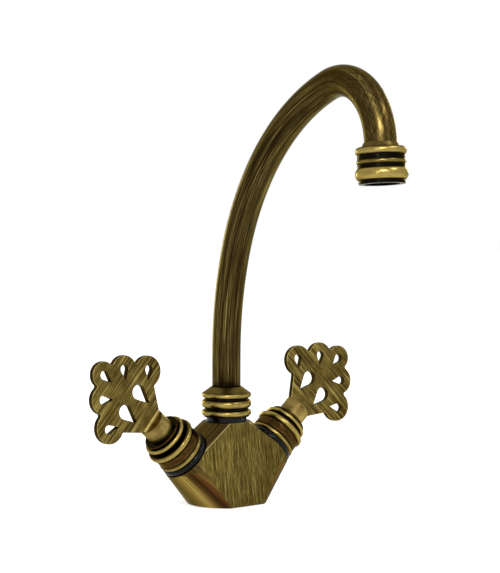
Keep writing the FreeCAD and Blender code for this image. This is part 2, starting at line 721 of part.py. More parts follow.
route = new_sketch(tube, "tube_route", "YZ_Plane")
rise = Part.LineSegment(Vector(0, size(flange_top), 0), Vector(0, size("bend_start"), 0))
edge = route.addGeometry(rise, False)
pin_point(route, edge, 1, "0", flange_top)
pin_point(route, edge, 2, "0", "bend_start")
ends = bend_ends()
for number, part_name in enumerate(("low", "middle", "end")):
    reach, height, heading = ends[number]
    after = ends[number + 1][2]
    radius = size("bend_radius_" + part_name)
    centre = Vector(- reach - radius * math.cos(heading), height - radius * math.sin(heading), 0)
    arc = Part.ArcOfCircle(Part.Circle(centre, UP, radius), heading, after)
    bend = route.addGeometry(arc, False)
    route.addConstraint(Sketcher.Constraint("Tangent", edge, 2, bend, 1))
    rule = route.addConstraint(Sketcher.Constraint("Radius", bend, radius))
    route.setExpression("Constraints[%d]" % rule, formula("bend_radius_" + part_name))
    rule = route.addConstraint(Sketcher.Constraint("Angle", bend, after - heading))
    route.setExpression("Constraints[%d]" % rule, "dims.bend_angle_%s * 1 deg" % part_name)
    edge = bend
tail_start = Vector(- last_reach, last_height, 0)
tail_way = Vector(- math.sin(last_heading), math.cos(last_heading), 0)
tail_line = Part.LineSegment(tail_start, tail_start + tail_way * size("tube_tail"))
tail = route.addGeometry(tail_line, False)
route.addConstraint(Sketcher.Constraint("Tangent", edge, 2, tail, 1))
rule = route.addConstraint(Sketcher.Constraint("Distance", tail, size("tube_tail")))
route.setExpression("Constraints[%d]" % rule, formula("tube_tail"))

pipe = tube.newObject("PartDesign::AdditivePipe", "tube_pipe")
pipe.Profile = section
pipe.Spine = route
node(tube, "spout_tube", spout_place)

# --------------------------------------------------------------------------
# Outlet: brazed collar, screwed housing, aerator
# --------------------------------------------------------------------------

collar_bead = "flare_from + flare_tall"
housing_top = collar_bead + " + outlet_bead"
thread_end = housing_top + " + outlet_thread_long"
seal_at = thread_end + " + clear_gap"
screen_at = seal_at + " + outlet_seal_thick"
insert_at = screen_at + " + screen_thick"
shoulder_at = insert_at + " + insert_tall"
bead_foot = "outlet_groove_radius - 0.6"
node(turned("collar_turned", [
    ("tube_radius + fit_gap", "flare_from"),
    ("tube_radius + fit_gap + 0.4", "flare_from"),
    ("flare_radius", collar_bead),
    (bead_foot, collar_bead),
    (bead_foot, housing_top, bead(bead_foot, "outlet_bead_radius", "outlet_bead")),
    ("outlet_thread_radius", housing_top),
    ("outlet_thread_radius", thread_end),
    ("tube_radius - tube_wall", thread_end),
    ("tube_radius - tube_wall", "tube_tail"),
    ("tube_radius + fit_gap", "tube_tail")]), "outlet_collar", outlet_place)

housing_outside, neck_at = beaded(housing_top + " + outlet_groove", [
    ("thin_bead", "outlet_groove_radius", "thin_bead_radius"),
    ("lower_groove", "outlet_groove_radius", None),
    ("large_bead", "outlet_groove_radius", "large_bead_radius"),
])
lip_at = neck_at + " + lip_neck"
lip_end = lip_at + " + lip_tall"
node(turned("housing_turned", [
    ("outlet_thread_radius + fit_gap", housing_top),
    ("outlet_groove_radius", housing_top)] + housing_outside + [
    ("lip_neck_radius", neck_at),
    ("lip_neck_radius", lip_at),
    ("lip_radius", lip_at),
    ("lip_radius", lip_end),
    ("mouth_radius", lip_end),
    ("mouth_radius", shoulder_at),
    ("outlet_thread_radius + fit_gap", shoulder_at)]), "aerator_housing", outlet_place)

insert_radius = "outlet_thread_radius - 0.1"
node(ring("outlet_seal_ring", "tube_radius - tube_wall", insert_radius, seal_at, screen_at),
     "outlet_seal", outlet_place)


def pierced(name, low, high):
    """A disc with a hole in the middle and two rings of holes around it."""
    disc = rod(name + "_disc", insert_radius, plain(size(high) - size(low)), Vector(0, 0, size(low)))
    holes = [rod(name + "_hole", "insert_hole", "insert_tall + 2", Vector(0, 0, size(low) - 1))]
    for ring_number in (1, 2):
        count = 6 * ring_number
        for place in range(count):
            angle = 2 * math.pi * place / count
            radius = ring_number * size("insert_pitch")
            base = Vector(radius * math.cos(angle), radius * math.sin(angle), size(low) - 1)
            holes.append(rod("%s_hole_%d_%d" % (name, ring_number, place),
                             "insert_hole", "insert_tall + 2", base))
    return cut(name, disc, holes)


node(pierced("screen", screen_at, insert_at), "aerator_screen", outlet_place)
node(pierced("insert", insert_at, shoulder_at), "aerator_insert", outlet_place)

# --------------------------------------------------------------------------
# Valves: along each valve axis, outwards from the floor of its bore
# --------------------------------------------------------------------------

bore_floor = "seat_distance - valve_bore_deep"
fixed_low = bore_floor + " + seat_seal_thick"
fixed_top = fixed_low + " + fixed_disc_thick"
disc_low = fixed_top + " + fit_gap"
disc_top = disc_low + " + moving_disc_thick"
foot_top = disc_top + " + spindle_foot"
cage_roof = foot_top + " + clear_gap"
hexagon_low = "seat_distance + washer_thick"
hexagon_top = hexagon_low + " + hexagon_tall"
headwork_end = hexagon_top + " + headwork_neck_tall"
clip_from = headwork_end + " + clear_gap"
square_from = clip_from + " + circlip_thick + 0.6"
square_end = headwork_end + " + square_reach"
base_ring_top = "seat_distance + base_ring_tall"
web_low = base_ring_top + " + bonnet_web_low"
web_top = web_low + " + bonnet_web"


def level(text):
    return Vector(0, 0, size(text))


def two_ports(name, radius, along_x, height):
    """Two round ports through a disc, each side of its centre."""
    ports = []
    for number, hand in enumerate((-1, 1)):
        away = hand * size("disc_port_offset")
        base = Vector(away if along_x else 0, 0 if along_x else away, size(height) - 1)
        ports.append(rod("%s_port_%d" % (name, number), radius, "fixed_disc_thick + 2", base))
    return ports


def open_ports(name, height):
    """Each port of the moving disc runs out through the disc's edge."""
    tools = two_ports(name, "disc_port", False, height)
    for number, hand in enumerate((-1, 1)):
        centre = hand * (size("disc_port_offset") + size("disc_radius")) / 2
        base = Vector(0, centre, size(height) - 1)
        tools.append(block("%s_way_%d" % (name, number), "disc_port + disc_port",
                           "disc_radius - disc_port_offset + 0.2", "moving_disc_thick + 2", base))
    return tools


def teardrop(name, out, at, radius, tip_out, tip_at):
    """Cutter for a teardrop hole: round about (out, at), with a pointed tip."""
    reach = math.hypot(tip_out - out, tip_at - at)
    way = math.atan2(tip_at - at, tip_out - out)
    half = math.acos(size(radius) / reach)

    def round_point(angle):
        return (plain(out + size(radius) * math.cos(angle)), plain(at + size(radius) * math.sin(angle)))

    return padded(name, "XZ_Plane", [
        (plain(tip_out), plain(tip_at)),
        round_point(way + half),
        round_point(way + math.pi) + (radius,),
        round_point(way - half) + (radius,)], "plate_thick + 4")


def in_notch(shape, edge):
    """Whether an edge runs through the plate at a corner of its outline."""
    first, last = edge.Vertexes[0].Point, edge.Vertexes[-1].Point
    if abs(abs(last.y - first.y) - size("plate_thick")) > 0.01 or first.z < size("stem_to + 1"):
        return False
    middle = (first + last) / 2
    normals = []
    for face in shape.ancestorsOfType(edge, Part.Face):
        normals.append(face.normalAt(*face.Surface.parameter(middle)))
    return len(normals) == 2 and normals[0].getAngle(normals[1]) > 0.2


def on_rim(shape, edge):
    """Whether an edge lies in the front or the back of the plate."""
    half = size("plate_thick") / 2
    return all(abs(abs(point.y) - half) < 0.001 for point in edge.discretize(3))


for side, name in SIDES:
    place = valve_place(side)
    turned_place = place * Placement(Vector(), Rotation(UP, size(name + "_handle_turn")))

    node(turned(name + "_base_ring", [
        ("base_ring_inner", seat),
        ("base_ring_radius - base_ring_round", seat),
        ("base_ring_radius", "seat_distance + base_ring_round", "base_ring_round"),
        ("base_ring_radius", base_ring_top + " - base_ring_round"),
        ("base_ring_radius - base_ring_round", base_ring_top, "base_ring_round"),
        ("base_ring_inner", base_ring_top)]), name + "_base_ring", place)

    bonnet_outside, bonnet_top = beaded(base_ring_top, [
        ("bonnet_low_bead", "bonnet_groove_radius", "bonnet_low_bead_radius"),
        ("bonnet_groove", "bonnet_groove_radius", None),
        ("bonnet_band", "bonnet_band_radius", None),
        ("bonnet_groove", "bonnet_groove_radius", None),
        ("bonnet_top_bead", "bonnet_groove_radius", "bonnet_top_bead_radius"),
    ])
    rim_low = bonnet_top + " - bonnet_rim"
    node(turned(name + "_bonnet", [
        ("bonnet_inner", base_ring_top)] + bonnet_outside + [
        ("bonnet_mouth", bonnet_top),
        ("bonnet_mouth", rim_low),
        ("bonnet_inner", rim_low),
        ("bonnet_inner", web_top),
        ("headwork_neck + fit_gap", web_top),
        ("headwork_neck + fit_gap", web_low),
        ("bonnet_inner", web_low)]), name + "_bonnet", place)

    node(ring(name + "_headwork_washer", "valve_bore_radius + 0.1", "hexagon_radius - 0.2",
              seat, hexagon_low), name + "_headwork_washer", place)

    hexagon = document.addObject("Part::Prism", name + "_hexagon")
    hexagon.Polygon = 6
    bind(hexagon, Circumradius="hexagon_radius", Height="hexagon_tall")
    hexagon.Placement = Placement(level(hexagon_low), Rotation())
    round_part = turned(name + "_headwork_turned", [
        ("spindle_radius + fit_gap", cage_roof),
        ("cage_bore", cage_roof),
        ("cage_bore", bore_floor + " + 0.4"),
        ("cage_radius", bore_floor + " + 0.4"),
        ("cage_radius", hexagon_low + " - thread_long"),
        ("valve_bore_radius - fit_gap", hexagon_low + " - thread_long"),
        ("valve_bore_radius - fit_gap", hexagon_low + " + 1"),
        ("headwork_neck", hexagon_low + " + 1"),
        ("headwork_neck", headwork_end),
        ("spindle_radius + fit_gap", headwork_end)])
    spindle_hole = rod(name + "_spindle_hole", "spindle_radius + fit_gap", "hexagon_tall + 2",
                       level(hexagon_low + " - 1"))
    drilled_hexagon = cut(name + "_hexagon_drilled", hexagon, [spindle_hole])
    windows = block(name + "_windows", "cage_radius + cage_radius + 4", "8", "cage_window",
                    level(fixed_top))
    node(cut(name + "_headwork", joined(name + "_headwork_solid", [round_part, drilled_hexagon]),
             [windows]), name + "_headwork", place)

    node(ring(name + "_seat_seal", "seat_seal_inner", "disc_radius", bore_floor, fixed_low),
         name + "_seat_seal", place)

    blank = rod(name + "_fixed_blank", "disc_radius", "fixed_disc_thick", level(fixed_low))
    node(cut(name + "_fixed_disc", blank, two_ports(name + "_fixed", "disc_port", True, fixed_low)),
         name + "_fixed_disc", place)

    blank = rod(name + "_moving_blank", "disc_radius", "moving_disc_thick", level(disc_low))
    slot = block(name + "_slot", "disc_radius + disc_radius + 2", "tang_thick + 0.1",
                 "tang_deep + 1.1", level(disc_top + " - tang_deep - 0.1"))
    node(cut(name + "_moving_disc", blank, open_ports(name + "_moving", disc_low) + [slot]),
         name + "_moving_disc", turned_place)

    ring_floor = "spindle_radius - ring_section"
    spindle_outline = [("0", disc_top), ("disc_radius - 0.2", disc_top),
                       ("disc_radius - 0.2", foot_top), ("spindle_radius", foot_top)]
    for at in ("inner_ring_at", "outer_ring_at"):
        spindle_outline += seal_groove(at, ring_floor, "spindle_radius", "ring_section", "0.15")
    spindle_outline += [
        ("spindle_radius", clip_from + " - 0.05"),
        ("spindle_radius - circlip_groove", clip_from + " - 0.05"),
        ("spindle_radius - circlip_groove", clip_from + " + circlip_thick + 0.05"),
        ("spindle_radius", clip_from + " + circlip_thick + 0.05"),
        ("spindle_radius", square_from),
        ("0", square_from)]
    round_spindle = turned(name + "_spindle_turned", spindle_outline)
    tang = block(name + "_tang", "tang_wide", "tang_thick", "tang_deep + 0.5",
                 level(disc_top + " - tang_deep"))
    square_root = square_from + " - 0.3"
    square_long = plain(size(square_end) - size(square_root))
    square_block = block(name + "_square", "square_side", "square_side", square_long,
                         level(square_root))
    square_round = rod(name + "_square_round", "spindle_radius", square_long,
                       level(square_root))
    square = document.addObject("Part::MultiCommon", name + "_square_end")
    square.Shapes = [square_block, square_round]
    node(joined(name + "_spindle", [round_spindle, tang, square]), name + "_spindle", turned_place)

    for at, which in (("inner_ring_at", "lower"), ("outer_ring_at", "upper")):
        seal_ring("%s_spindle_%s_seal" % (name, which), ring_floor, "ring_section", at, turned_place)

    whole_clip = ring(name + "_circlip_ring", "spindle_radius - circlip_groove + fit_gap",
                      "circlip_radius", clip_from, clip_from + " + circlip_thick")
    clip_mouth = block(name + "_circlip_mouth", "4.4", "circlip_radius + 1", "circlip_thick + 2",
                       level(clip_from + " - 1") + Vector(0, size("circlip_radius + 1") / 2, 0))
    node(cut(name + "_circlip", whole_clip, [clip_mouth]), name + "_circlip", turned_place)

    skirt_low = bonnet_top + " + clear_gap"
    skirt_outside, skirt_top = beaded(skirt_low, [
        ("skirt_neck", "skirt_neck_radius", None),
        ("skirt_low_bead", "skirt_low_bead_radius - 1.3", "skirt_low_bead_radius"),
        ("skirt_groove", "skirt_groove_radius", None),
        ("skirt_top_bead", "skirt_groove_radius", "skirt_top_bead_radius"),
    ])
    node(turned(name + "_skirt", [("stem_radius + fit_gap", skirt_low)] + skirt_outside + [
        ("stem_radius + fit_gap", skirt_top)]), name + "_skirt", turned_place)

    # handle: plate with five lobes on a round stem
    plate_parts = []
    for lobe, out_name in (("middle", None), ("next", "next_lobe_out"), ("outer", "outer_lobe_out")):
        for hand in ((0,) if out_name is None else (-1, 1)):
            out = hand * size(out_name) if hand else 0.0
            centre = Vector(out, - size("plate_thick") / 2, size(lobe + "_lobe_at"))
            plate_parts.append(rod("%s_%s_lobe_%d" % (name, lobe, hand + 1), lobe + "_lobe_radius",
                                   "plate_thick", centre, along=Vector(0, 1, 0)))
    plate_parts.append(padded(name + "_web", "XZ_Plane", [
        ("plate_neck", "stem_to - 3"),
        ("plate_neck", "stem_to"),
        ("plate_neck_out", "plate_neck_to"),
        ("near_notch_out", "near_notch_at"),
        ("next_lobe_out", "next_lobe_at"),
        ("0", "middle_lobe_at"),
        ("- next_lobe_out", "next_lobe_at"),
        ("- near_notch_out", "near_notch_at"),
        ("- plate_neck_out", "plate_neck_to"),
        ("- plate_neck", "stem_to"),
        ("- plate_neck", "stem_to - 3")], "plate_thick"))
    plate = joined(name + "_plate", plate_parts)
    plate = rounded(name + "_plate_notches", plate, "notch_fillet", in_notch)
    plate = rounded(name + "_plate_rims", plate, "plate_edge", on_rim)

    holes = [teardrop(name + "_middle_drop", 0.0, size("middle_drop_at"), "drop_round",
                      0.0, size("middle_drop_at - drop_long"))]
    for hand, tag in ((-1, "a"), (1, "b")):
        for lobe in ("next", "outer"):
            out = hand * size(lobe + "_drop_out")
            at = size(lobe + "_drop_at")
            turn = math.radians(size(lobe + "_drop_turn"))
            holes.append(teardrop("%s_%s_drop_%s" % (name, lobe, tag), out, at, "drop_round",
                                  out - hand * size("drop_long") * math.sin(turn),
                                  at - size("drop_long") * math.cos(turn)))
        holes.append(teardrop("%s_large_drop_%s" % (name, tag), hand * size("large_drop_out"),
                              size("large_drop_at"), "large_drop_round",
                              hand * size("large_drop_tip_out"), size("large_drop_tip")))

    gusset_out = plain(size("plate_thick") / 2 + size("plate_fillet"))
    gusset_in = plain(size("plate_thick") / 2)
    gusset_top = "stem_to + plate_fillet"
    gusset = padded(name + "_gusset", "YZ_Plane", [
        (gusset_out, "stem_to - 1"),
        (gusset_out, "stem_to"),
        (gusset_in, gusset_top, "plate_fillet", "left"),
        ("- " + gusset_in, gusset_top),
        ("- " + gusset_out, "stem_to", "plate_fillet", "left"),
        ("- " + gusset_out, "stem_to - 1")], "plate_neck + plate_neck")
    gusset_limit = rod(name + "_gusset_limit", "stem_radius", "plate_fillet + 8", level("stem_to - 4"))
    trimmed_gusset = document.addObject("Part::MultiCommon", name + "_gusset_trimmed")
    trimmed_gusset.Shapes = [gusset, gusset_limit]

    stem = rod(name + "_stem", "stem_radius", "stem_to - stem_from", level("stem_from"))
    socket = block(name + "_socket", "square_side + 0.1", "square_side + 0.1",
                   square_end + " - stem_from + 1.4", level("stem_from - 1"))
    grub_tip = size("square_side") / 2 + size("fit_gap")
    grub_base = Vector(0, grub_tip, size("grub_at"))
    grub_hole = rod(name + "_grub_hole", "grub_radius + fit_gap", "stem_radius",
                    grub_base - Vector(0, 1, 0), along=Vector(0, 1, 0))
    whole = joined(name + "_handle_whole", [plate, trimmed_gusset, stem])
    node(cut(name + "_handle", whole, holes + [socket, grub_hole]), name + "_handle", turned_place)

    grub_long = plain(size("stem_radius") - 0.5 - grub_tip)
    grub = rod(name + "_grub_blank", "grub_radius", grub_long, grub_base, along=Vector(0, 1, 0))
    key = document.addObject("Part::Prism", name + "_grub_key")
    key.Polygon = 6
    bind(key, Circumradius="grub_socket", Height="3")
    key.Placement = Placement(Vector(0, size("stem_radius") - 2.5, size("grub_at")),
                              Rotation(UP, Vector(0, 1, 0)))
    node(cut(name + "_grub_screw", grub, [key]), name + "_grub_screw", turned_place)

# --------------------------------------------------------------------------
# Check every piece, then write it
# --------------------------------------------------------------------------

document.recompute()
for thing in document.Objects:
    for word in ("Invalid", "Error"):
        if word in thing.State:
            raise RuntimeError("%s is %s" % (thing.Label, word))
os.makedirs("parts", exist_ok=True)
for thing in NODES:
    shape = thing.Shape
    if shape.isNull() or not shape.isValid():
        raise RuntimeError(thing.Label + " has no valid shape")
    if len(shape.Solids) != 1:
        raise RuntimeError("%s has %d solids" % (thing.Label, len(shape.Solids)))
for thing in NODES:
    thing.Shape.exportStep("parts/%s.step" % thing.Label)
print(len(NODES), "pieces written")
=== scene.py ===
# %% [markdown]
# # A two-handle sink mixer in antique bronze
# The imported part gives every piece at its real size. This lesson loads it, models
# again the one piece whose finish has to follow its bends, and gives each piece the
# finish of the real tap: bronze that was blackened, then brushed or polished back
# wherever a hand or a wheel could reach. All lengths here are metres.

import json
import math

import bpy
from mathutils import Euler, Matrix, Vector


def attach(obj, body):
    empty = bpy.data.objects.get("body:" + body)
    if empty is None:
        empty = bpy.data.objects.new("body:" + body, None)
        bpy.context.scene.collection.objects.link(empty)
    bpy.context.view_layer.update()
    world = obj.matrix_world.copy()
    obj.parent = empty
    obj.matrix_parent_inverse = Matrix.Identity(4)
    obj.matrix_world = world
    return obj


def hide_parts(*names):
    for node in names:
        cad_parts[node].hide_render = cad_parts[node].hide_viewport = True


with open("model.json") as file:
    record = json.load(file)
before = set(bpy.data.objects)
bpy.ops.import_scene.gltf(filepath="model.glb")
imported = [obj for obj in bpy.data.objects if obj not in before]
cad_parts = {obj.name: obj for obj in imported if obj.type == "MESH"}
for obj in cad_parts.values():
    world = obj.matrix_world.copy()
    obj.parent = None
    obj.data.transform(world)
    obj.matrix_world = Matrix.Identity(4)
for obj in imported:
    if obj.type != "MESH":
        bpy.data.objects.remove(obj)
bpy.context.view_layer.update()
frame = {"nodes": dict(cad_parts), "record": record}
nodes = frame["nodes"]

# %% [markdown]
# ## Where the valves and the spout are
# Both valves lean out from the body, and their patterns have to lean with them. A
# material can do that if it first turns the object's coordinates into the valve's
# own, where Z runs outwards along the valve. The spout stands a little swivelled,
# so its tube is modelled straight ahead and then turned.

# %% Frames of the moving parts
MM = 0.001
VALVE_TILT = math.radians(41.5)
VALVE_CROSS = Vector((0, 0, 4.0 * MM))
HANDLE_TURN = {"hot": math.radians(2.0), "cold": math.radians(-7.5)}
SIDE = {"hot": -1, "cold": 1}
SPOUT_TURN = math.radians(-6.5)
OUTLET_REACH, OUTLET_RISE = 179.25 * MM, 245.28 * MM
OUTLET_HEADING = math.radians(176.0)


def valve_matrix(side, turn=0.0):
    """From a valve's own coordinates to the part's."""
    lean = Matrix.Rotation(SIDE[side] * (math.pi / 2 - VALVE_TILT), 4, "Y")
    return Matrix.Translation(VALVE_CROSS) @ lean @ Matrix.Rotation(turn, 4, "Z")


VALVE = {side: valve_matrix(side) for side in SIDE}
HANDLE = {side: valve_matrix(side, HANDLE_TURN[side]) for side in SIDE}
SPOUT = Matrix.Rotation(SPOUT_TURN, 4, "Z")
OUTLET = (SPOUT @ Matrix.Translation((0, -OUTLET_REACH, OUTLET_RISE))
          @ Matrix.Rotation(OUTLET_HEADING, 4, "X"))
print("hot valve points to", [round(v, 3) for v in VALVE["hot"].col[2][:3]])

# %% [markdown]
# ## Small helpers for the finishes
# Colours are easier to judge as they look on screen, so they are written as screen
# values and turned into the linear values that the shader wants. A finish is a
# short chain of nodes, so one helper adds a node and sets it, and others stand for
# the chains that come back: a product, a weighted sum, a range, a ramp, a blend and
# a stretched noise.


# %% Colours and nodes
def screen(red, green, blue):
    """A colour as the screen shows it, 0 to 255, made linear."""
    levels = []
    for value in (red, green, blue):
        value /= 255.0
        levels.append(value / 12.92 if value <= 0.04045 else ((value + 0.055) / 1.055) ** 2.4)
    return (*levels, 1.0)


# the patina keeps the metal from going fully white where the eye grazes it
EDGE_TINT = screen(205, 200, 184)


class Finish:
    """A material and the few kinds of node that this tap's finishes need."""

    def __init__(self, name, metallic=1.0):
        self.material = bpy.data.materials.new(name)
        self.material.use_nodes = True
        self.tree = self.material.node_tree
        self.surface = self.tree.nodes["Principled BSDF"]
        self.surface.inputs["Metallic"].default_value = metallic
        if metallic == 1.0:
            self.surface.inputs["Specular Tint"].default_value = EDGE_TINT

    def feed(self, value, socket):
        """Give a socket a number, a colour or another node's output."""
        if isinstance(value, bpy.types.NodeSocket):
            self.tree.links.new(value, socket)
        else:
            socket.default_value = value

    def add(self, kind, inputs=(), **settings):
        node = self.tree.nodes.new("ShaderNode" + kind)
        for key, value in settings.items():
            setattr(node, key, value)
        for number, value in enumerate(inputs):
            self.feed(value, node.inputs[number])
        return node

    def math(self, operation, *values):
        return self.add("Math", values, operation=operation).outputs[0]

    def times(self, first, *others):
        """The product of all the values."""
        for value in others:
            first = self.math("MULTIPLY", first, value)
        return first

    def weighted(self, *pairs):
        """The sum of value times weight over the pairs."""
        total = None
        for value, weight in pairs:
            term = self.math("MULTIPLY", value, weight)
            total = term if total is None else self.math("ADD", total, term)
        return total

    def wobble(self, value, noise, amount):
        """The value, moved up and down by a noise that averages a half."""
        off = self.math("SUBTRACT", noise, 0.5)
        return self.math("ADD", value, self.math("MULTIPLY", off, amount))

    def ranged(self, value, low, high, new_low=0.0, new_high=1.0, smooth=True):
        kind = "SMOOTHSTEP" if smooth else "LINEAR"
        return self.add("MapRange", (value, low, high, new_low, new_high),
                        interpolation_type=kind).outputs[0]

    def ramp(self, value, stops):
        node = self.add("ValToRGB", (value,))
        while len(node.color_ramp.elements) < len(stops):
            node.color_ramp.elements.new(0.5)
        for element, (place, colour) in zip(node.color_ramp.elements, stops):
            element.position = place
            element.color = colour
        return node.outputs[0]

    def blend(self, share, first, second, kind="MIX"):
        """From the first colour to the second."""
        node = self.add("Mix", data_type="RGBA", blend_type=kind)
        for value, number in ((share, 0), (first, 6), (second, 7)):
            self.feed(value, node.inputs[number])
        return node.outputs[2]

    def between(self, share, first, second):
        """From the first number to the second."""
        node = self.add("Mix", data_type="FLOAT")
        for value, number in ((share, 0), (first, 2), (second, 3)):
            self.feed(value, node.inputs[number])
        return node.outputs[0]

    def place(self, matrix=None):
        """The object's coordinates, or those of a frame given by its matrix."""
        point = self.add("TexCoord").outputs["Object"]
        if matrix is None:
            return point
        back = matrix.inverted()
        node = self.add("Mapping", (point,), vector_type="POINT")
        node.inputs["Location"].default_value = back.to_translation()
        node.inputs["Rotation"].default_value = back.to_euler()
        return node.outputs[0]

    def facing(self, matrix=None):
        """How far the surface faces the Y of the same frame, 0 to 1."""
        normal = self.add("TexCoord").outputs["Normal"]
        if matrix is not None:
            node = self.add("Mapping", (normal,), vector_type="POINT")
            node.inputs["Rotation"].default_value = matrix.inverted().to_euler()
            normal = node.outputs[0]
        return self.math("ABSOLUTE", self.split(normal)[1])

    def split(self, vector):
        return self.add("SeparateXYZ", (vector,)).outputs

    def noise(self, vector, per_metre, detail, rough, shift=(0, 0, 0)):
        """Noise whose grain has its own size along each axis."""
        mapping = self.add("Mapping", (vector,), vector_type="POINT")
        mapping.inputs["Scale"].default_value = per_metre
        mapping.inputs["Location"].default_value = shift
        node = self.add("TexNoise", (mapping.outputs[0],))
        node.inputs["Scale"].default_value = 1.0
        node.inputs["Detail"].default_value = detail
        node.inputs["Roughness"].default_value = rough
        return node.outputs[0]

    def relief(self, height, distance, strength):
        node = self.add("Bump")
        node.inputs["Strength"].default_value = strength
        node.inputs["Distance"].default_value = distance
        self.feed(height, node.inputs["Height"])
        self.feed(node.outputs[0], self.surface.inputs["Normal"])

    def finish(self, colour, grain, smoothest, roughest):
        """Feed the colour, and a roughness that follows the grain. Nearly all of a
        noise lies between 0.3 and 0.7."""
        self.feed(colour, self.surface.inputs["Base Color"])
        rough = self.ranged(grain, 0.3, 0.7, smoothest, roughest, smooth=False)
        self.feed(rough, self.surface.inputs["Roughness"])
        return self.material


print("helpers ready")

# %% [markdown]
# ## The bronze, from black to polished
# The maker blackens the whole casting and then takes the black off again. What is
# left runs from black in the grooves through a red brown and an olive bronze to a
# pale gold on the crests. These tones serve the rings, which show the whole run.
# The brushed pieces show a narrower stretch of it, and each names its own stops.

# %% Tones of one metal
SOOT = screen(16, 14, 9)
UMBER = screen(62, 42, 18)
OLIVE = screen(92, 79, 36)
BRONZE = screen(120, 102, 50)
GOLD = screen(150, 131, 70)
SATIN = screen(88, 74, 36)
# depth of the brush's strokes, and how strongly they show
BRUSHED_RELIEF, BRUSHED_STRENGTH = 0.08 * MM, 0.45
print("gold in linear light", [round(v, 3) for v in GOLD[:3]])

# %% [markdown]
# ## Body: brushed upright, drawn out along its flanks
# The flat front and back were brushed straight up and down, so their strokes are
# a noise squeezed across and stretched along Z. Both faces lean, so the noise does
# not change along Y at all, or the strokes would break up. The round flanks were
# drawn along the straight lines that run from the foot to the valve seat. Those
# lines fan out, so the strokes need a coordinate that stays the same along each of
# them. It comes from how wide the flank is at each height.

# %% Finish of the body
FOOT_RADIUS, SEAT_RADIUS = 28.0 * MM, 18.7 * MM
SEAT_RISE, SEAT_DROP = 35.8 * MM, 14.0 * MM
FLANK_HALF = 27.0 * MM
# past the sides of the flank and above its seat the fan keeps these limits
LEAST_ROUND, MOST_ALONG = 0.05, 1.3
FACE_LOW, FACE_SLOPE = 24.3 * MM, 9.1 / 57.0
# tones across the flank's fan: patina, with a painted highlight band at 0.52 and a painted shade
# band at 0.78
FLANK_PATINA_AND_PAINTED_LIGHT = [
    (0.00, screen(84, 70, 31)), (0.30, screen(112, 94, 43)), (0.52, screen(148, 128, 66)),
    (0.66, screen(98, 76, 35)), (0.78, screen(46, 30, 12)), (0.86, screen(76, 45, 20)),
    (0.95, screen(92, 73, 35))]
SHOULDER_TONES = [(0.35, screen(50, 37, 17)), (0.65, screen(84, 68, 33))]
FACE_TONES = [(0.40, screen(52, 40, 16)), (0.47, screen(82, 69, 30)),
              (0.53, screen(110, 95, 45)), (0.62, screen(160, 144, 80))]
# painted highlight along the crease above the seats
CREASE_PAINTED_HIGHLIGHT = screen(176, 160, 104)


def fan_lines(make, y, z):
    """Which line of the flank a point is on, and how far up it, foot to seat."""
    across = make.math("DIVIDE", y, FLANK_HALF)
    rest = make.math("SUBTRACT", 1.0, make.math("MULTIPLY", across, across))
    nose = make.math("SQRT", make.math("MAXIMUM", rest, LEAST_ROUND))
    rise = make.math("SUBTRACT", SEAT_RISE, make.math("MULTIPLY", nose, SEAT_DROP))
    along = make.math("MINIMUM", make.math("DIVIDE", z, rise), MOST_ALONG)
    narrowed = make.math("MULTIPLY", along, FOOT_RADIUS - SEAT_RADIUS)
    wide = make.math("SUBTRACT", FOOT_RADIUS, narrowed)
    return make.math("DIVIDE", y, wide), along


def body_finish():
    make = Finish("brushed_body_bronze")
    point = make.place()
    x, y, z = make.split(point)
    line, along = fan_lines(make, y, z)
    fan = make.add("CombineXYZ", (line, make.math("MULTIPLY", along, 0.06),
                                  make.math("SIGN", x))).outputs[0]
    flank_broad = make.noise(fan, (9.0, 2.5, 3.1), 3.0, 0.55, shift=(0.8, 0, 0))
    flank_fine = make.noise(fan, (75.0, 14.0, 7.7), 5.0, 0.65)
    flat_broad = make.noise(point, (210.0, 0.0, 15.0), 3.0, 0.55)
    flat_fine = make.noise(point, (1500.0, 0.0, 42.0), 5.0, 0.65)
    flat_short = make.noise(point, (1300.0, 0.0, 150.0), 3.0, 0.6, shift=(9, 0, 4))

    # the round flanks: one tone for each line of the fan, patina with a painted highlight band
    # and a painted shade band, then its streaks
    lane = make.wobble(make.math("ABSOLUTE", line), flank_broad, 0.16)
    flank = make.ramp(lane, FLANK_PATINA_AND_PAINTED_LIGHT)
    streaks = make.ranged(flank_fine, 0.36, 0.64, 0.50, 1.55, smooth=False)
    flank = make.blend(1.0, flank, streaks, "MULTIPLY")
    upper = make.ranged(along, 0.99, 1.10)
    flank = make.blend(upper, flank, make.ramp(flank_broad, SHOULDER_TONES))

    # the brushed front and back; painted shade makes them a little darker towards the foot and
    # the cold side
    face = make.ramp(make.weighted((flat_broad, 0.12), (flat_fine, 0.56),
                                   (flat_short, 0.32)), FACE_TONES)
    painted_shade = make.times(make.ranged(x, -18 * MM, 30 * MM, 1.04, 0.80),
                       make.ranged(z, 0.0, 30 * MM, 0.80, 1.0))
    face = make.blend(1.0, face, painted_shade, "MULTIPLY")
    flat = make.ranged(make.facing(), 0.93, 0.975)
    colour = make.blend(flat, flank, face)

    # painted highlight: the crease above the seats is painted bright, as its sharp edge would
    # catch the light
    face_at = make.math("SUBTRACT", FACE_LOW, make.math("MULTIPLY", z, FACE_SLOPE))
    beside = make.math("SUBTRACT", face_at, make.math("ABSOLUTE", y))
    crease_highlight = make.times(make.math("SUBTRACT", 1.0, flat),
                      make.ranged(beside, 0.9 * MM, 0.2 * MM), upper, 0.8)
    colour = make.blend(crease_highlight, colour, CREASE_PAINTED_HIGHLIGHT)

    stroke = make.between(flat, flank_fine, flat_fine)
    make.relief(stroke, BRUSHED_RELIEF, BRUSHED_STRENGTH)
    return make.finish(colour, stroke, 0.30, 0.44)


nodes["body"].material_slots[0].material = body_finish()
print("body finished")

